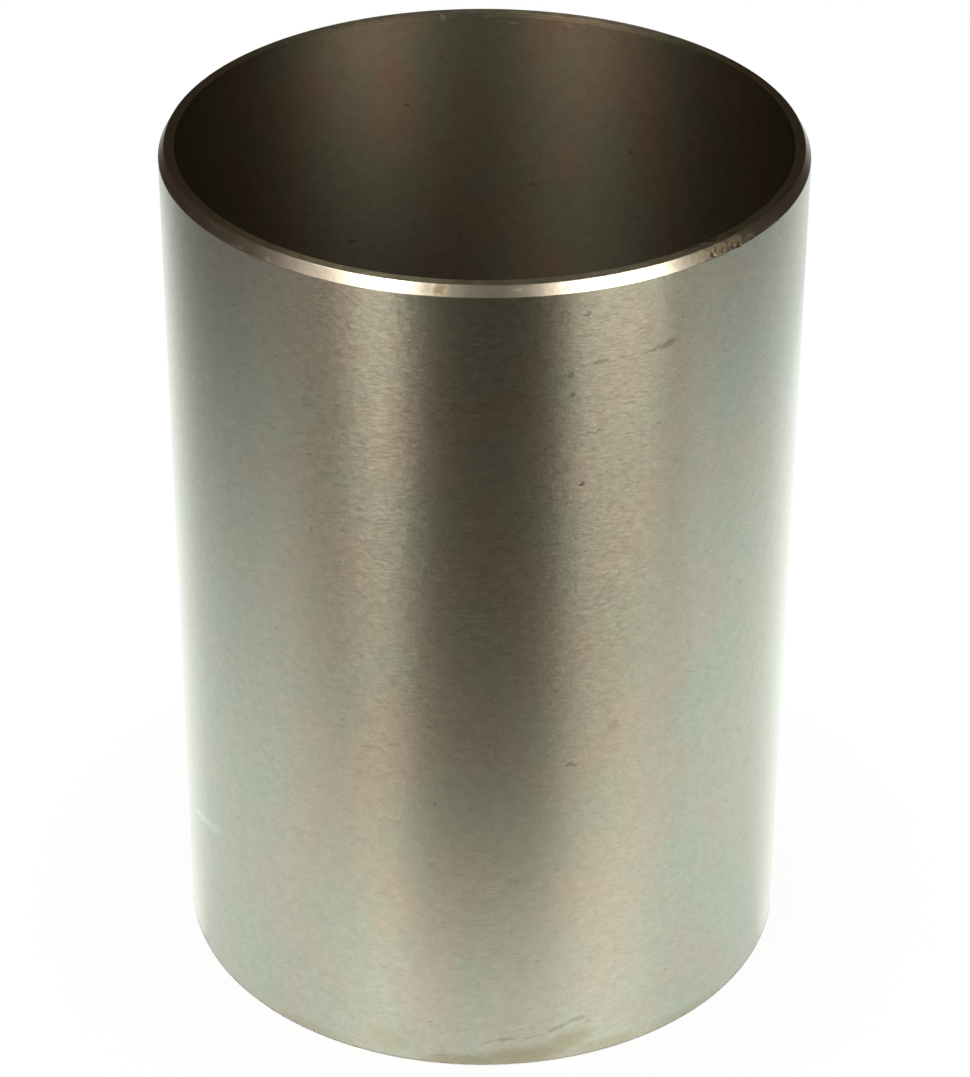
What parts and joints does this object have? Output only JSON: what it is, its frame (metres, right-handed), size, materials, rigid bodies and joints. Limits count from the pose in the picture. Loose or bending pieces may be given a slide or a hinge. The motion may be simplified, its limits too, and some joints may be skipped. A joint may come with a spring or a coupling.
{
  "type": "cylinder liner",
  "caption": "Plain dry cylinder liner: a thin-walled turned sleeve of grey cast iron, with a steep lead-in chamfer at one end and lightly chamfered bore mouths.",
  "frame": {"origin": "centre of the bore at the plain end's face, which it stands on", "axes": "+Z along the bore, from the plain end to the lead-in end"},
  "size_m": [0.0936, 0.0936, 0.1325],
  "materials": {
    "cylinder_liner": "fine turned grey cast iron, satin, with light handling marks"
  },
  "bodies": {
    "root": {"cylinder_liner": "cylinder_liner"}
  },
  "joints": []
}
